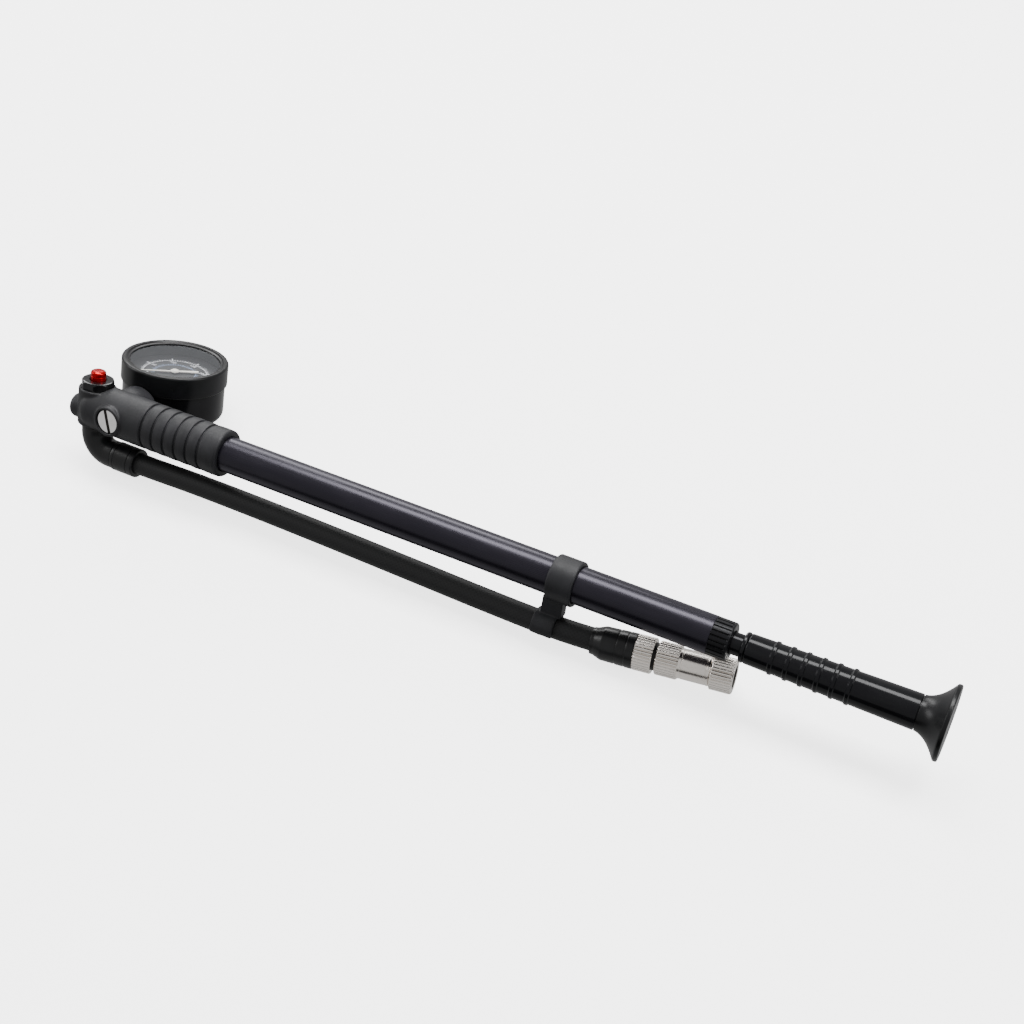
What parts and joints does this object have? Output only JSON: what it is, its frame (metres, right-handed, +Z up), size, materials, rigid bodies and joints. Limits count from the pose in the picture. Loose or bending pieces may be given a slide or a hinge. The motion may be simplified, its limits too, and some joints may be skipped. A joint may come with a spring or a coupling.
{
  "type": "shock suspension pump",
  "caption": "Slim hand pump for air suspension: trumpet handle on a sliding rod, rubber-booted head with gauge, bleed button and screw plug, and a clipped hose with a threaded chuck.",
  "frame": {"origin": "centre of the bounding box at the surface the pump lies on", "axes": "+X along the barrel from the head to the handle, +Y from the barrel towards the gauge along the surface, +Z up"},
  "size_m": [0.3558, 0.069, 0.0391],
  "materials": {
    "anodised": "satin dark anodised, fine lengthwise grain",
    "head_metal": "machined, plain",
    "boot_rubber": "matte moulded rubber",
    "seal_rubber": "smooth seal rubber",
    "nut_black": "gloss black anodised",
    "red_metal": "gloss red anodised",
    "screw_steel": "bright polished",
    "spring_steel": "drawn wire",
    "valve_brass": "machined",
    "gauge_black": "gloss black",
    "bezel_black": "satin black with a glossy lip",
    "dial_black": "matte black with white marks",
    "lens_clear": "clear, polished",
    "needle_white": "satin white",
    "hose_rubber": "black, faint woven imprint",
    "ferrule_black": "satin black",
    "sleeve_rubber": "semi-gloss moulded rubber",
    "chuck_nickel": "satin nickel plated",
    "gland_black": "satin black anodised",
    "bush_plastic": "low-friction plastic",
    "rod_black": "polished black anodised",
    "handle_black": "gloss black",
    "cap_black": "satin black"
  },
  "bodies": {
    "pump": {"barrel_tube": "anodised", "head_core": "head_metal", "head_boot": "boot_rubber", "valve_seat": "valve_brass", "valve_spring": "spring_steel", "bleed_nut": "nut_black", "bleed_seat": "valve_brass", "bleed_spring": "spring_steel", "plug_screw": "screw_steel", "plug_ring": "seal_rubber", "gauge_case": "gauge_black", "gauge_bezel": "bezel_black", "gauge_dial": "dial_black", "gauge_spacer": "gauge_black", "gauge_lens": "lens_clear", "gauge_plate": "valve_brass", "bourdon_tube": "valve_brass", "gauge_stem": "valve_brass", "swivel_ring": "nut_black", "hose_elbow": "sleeve_rubber", "hose_ferrule": "ferrule_black", "hose": "hose_rubber", "hose_clip": "boot_rubber", "hose_sleeve": "sleeve_rubber", "hose_coupling": "chuck_nickel", "swivel_seal": "seal_rubber", "barrel_gland": "gland_black", "rod_bush": "bush_plastic", "rod_wiper": "seal_rubber", "stroke_bumper": "seal_rubber"},
    "piston": {"piston": "bush_plastic", "piston_seal": "seal_rubber"},
    "handle": {"rod": "rod_black", "rod_nut": "spring_steel", "handle_ring": "rod_black", "handle_grip": "handle_black", "handle_cap": "cap_black"},
    "bleed_button": {"bleed_button": "red_metal", "bleed_pin": "valve_brass", "bleed_seal": "seal_rubber"},
    "needle": {"gauge_needle": "needle_white", "needle_staff": "spring_steel"},
    "sector": {"gauge_sector": "valve_brass"},
    "valve_ball": {"valve_ball": "spring_steel"},
    "chuck_body": {"chuck_body": "chuck_nickel", "chuck_pin": "valve_brass", "chuck_seal": "seal_rubber"},
    "chuck_nut": {"chuck_nut": "chuck_nickel"}
  },
  "joints": [
    {"name": "piston_slide", "type": "slide", "parent": "pump", "child": "piston", "axis": [1, 0, 0.0047], "range_m": [-0.0036, 0.197]},
    {"name": "handle_spin", "type": "hinge", "parent": "piston", "child": "handle", "pos_m": [0.10812, -0.02117, 0.02537], "axis": [1, 0, 0.0047], "continuous": true},
    {"name": "bleed_press", "type": "slide", "parent": "pump", "child": "bleed_button", "axis": [0.0045, -0.3183, -0.948], "range_m": [0, 0.002], "stiffness_N_per_m": 300, "springref_m": -0.003, "deforming": ["bleed_spring"]},
    {"name": "sector_swing", "type": "hinge", "parent": "pump", "child": "sector", "pos_m": [-0.15462, 0.0209, 0.01258], "axis": [-0.0045, 0.3183, 0.948], "range_deg": [0, 27], "stiffness_Nm_per_rad": 0.0001, "springref_deg": -2.86},
    {"name": "needle_turn", "type": "hinge", "parent": "pump", "child": "needle", "pos_m": [-0.15467, 0.01241, 0.02202], "axis": [0.0045, -0.3183, -0.948], "range_deg": [0, 270]},
    {"name": "valve_lift", "type": "slide", "parent": "pump", "child": "valve_ball", "axis": [-1, 0, -0.0047], "range_m": [0, 0.0008], "stiffness_N_per_m": 20, "springref_m": -0.002, "deforming": ["valve_spring"]},
    {"name": "chuck_turn", "type": "hinge", "parent": "pump", "child": "chuck_body", "pos_m": [0.07791, -0.02418, 0.00774], "axis": [0.9917, 0.1259, 0.0268], "continuous": true},
    {"name": "chuck_nut_turn", "type": "hinge", "parent": "chuck_body", "child": "chuck_nut", "pos_m": [0.09744, -0.0217, 0.00827], "axis": [0.9917, 0.1259, 0.0268], "continuous": true}
  ],
  "couplings": [
    {"joint": "needle_turn", "follows": "sector_swing", "ratio": 10}
  ]
}
